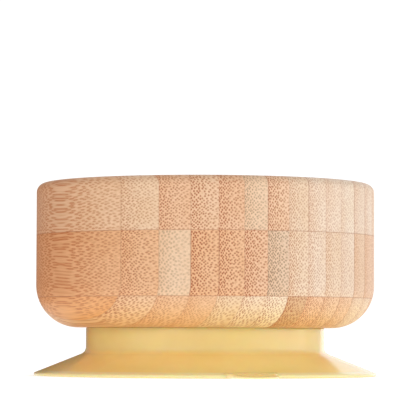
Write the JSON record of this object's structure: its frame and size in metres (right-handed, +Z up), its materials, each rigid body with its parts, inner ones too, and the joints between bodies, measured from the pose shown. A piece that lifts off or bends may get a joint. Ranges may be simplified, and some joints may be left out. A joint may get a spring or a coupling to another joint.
{
  "type": "suction bowl",
  "caption": "Turned laminated bamboo baby bowl on a soft silicone suction base with a sloping skirt, a sealing lip and a pull tab.",
  "frame": {"origin": "on the bowl's axis at the table, in the middle of the circle on which the suction lip seals", "axes": "+Z up along the bowl's axis, -Y from the axis towards the pull tab"},
  "size_m": [0.1214, 0.1335, 0.068],
  "materials": {
    "bamboo": "satin",
    "silicone": "satin"
  },
  "bodies": {
    "suction_edge": {"edge_lip": "silicone", "skirt": "silicone"},
    "grip": {"collar": "silicone", "retaining_bead": "silicone"},
    "tab": {"pull_tab": "silicone"},
    "bowl": {"rim_slat_01": "bamboo", "rim_slat_02": "bamboo", "rim_slat_03": "bamboo", "rim_slat_04": "bamboo", "rim_slat_05": "bamboo", "rim_slat_06": "bamboo", "rim_slat_07": "bamboo", "rim_slat_08": "bamboo", "rim_slat_09": "bamboo", "rim_slat_10": "bamboo", "rim_slat_11": "bamboo", "rim_slat_12": "bamboo", "rim_slat_13": "bamboo", "rim_slat_14": "bamboo", "rim_slat_15": "bamboo", "rim_slat_16": "bamboo", "wall_slat_01": "bamboo", "wall_slat_02": "bamboo", "wall_slat_03": "bamboo", "wall_slat_04": "bamboo", "wall_slat_05": "bamboo", "wall_slat_06": "bamboo", "wall_slat_07": "bamboo", "wall_slat_08": "bamboo", "wall_slat_09": "bamboo", "wall_slat_10": "bamboo", "wall_slat_11": "bamboo", "wall_slat_12": "bamboo", "wall_slat_13": "bamboo", "wall_slat_14": "bamboo", "wall_slat_15": "bamboo", "wall_slat_16": "bamboo", "base_slat_01": "bamboo", "base_slat_02": "bamboo", "base_slat_03": "bamboo", "base_slat_04": "bamboo", "base_slat_05": "bamboo", "base_slat_06": "bamboo", "base_slat_07": "bamboo", "base_slat_08": "bamboo", "base_slat_09": "bamboo", "base_slat_10": "bamboo", "base_slat_11": "bamboo", "base_slat_12": "bamboo", "base_slat_13": "bamboo", "base_slat_14": "bamboo", "base_slat_15": "bamboo", "base_slat_16": "bamboo"}
  },
  "joints": [
    {"name": "cup_press", "type": "slide", "parent": "suction_edge", "child": "grip", "axis": [0, 0, -1], "range_m": [0, 0.0045], "stiffness_N_per_m": 3000, "springref_m": -0.0012, "deforming": ["skirt"]},
    {"name": "tab_pull", "type": "hinge", "parent": "suction_edge", "child": "tab", "pos_m": [0, -0.0618, 0.0008], "axis": [-1, 0, 0], "range_deg": [0, 70], "stiffness_Nm_per_rad": 0.004, "springref_deg": -5.73},
    {"name": "bowl_lift_off", "type": "slide", "parent": "grip", "child": "bowl", "axis": [0, 0, 1], "range_m": [0, 0.03], "deforming": ["retaining_bead"]}
  ]
}
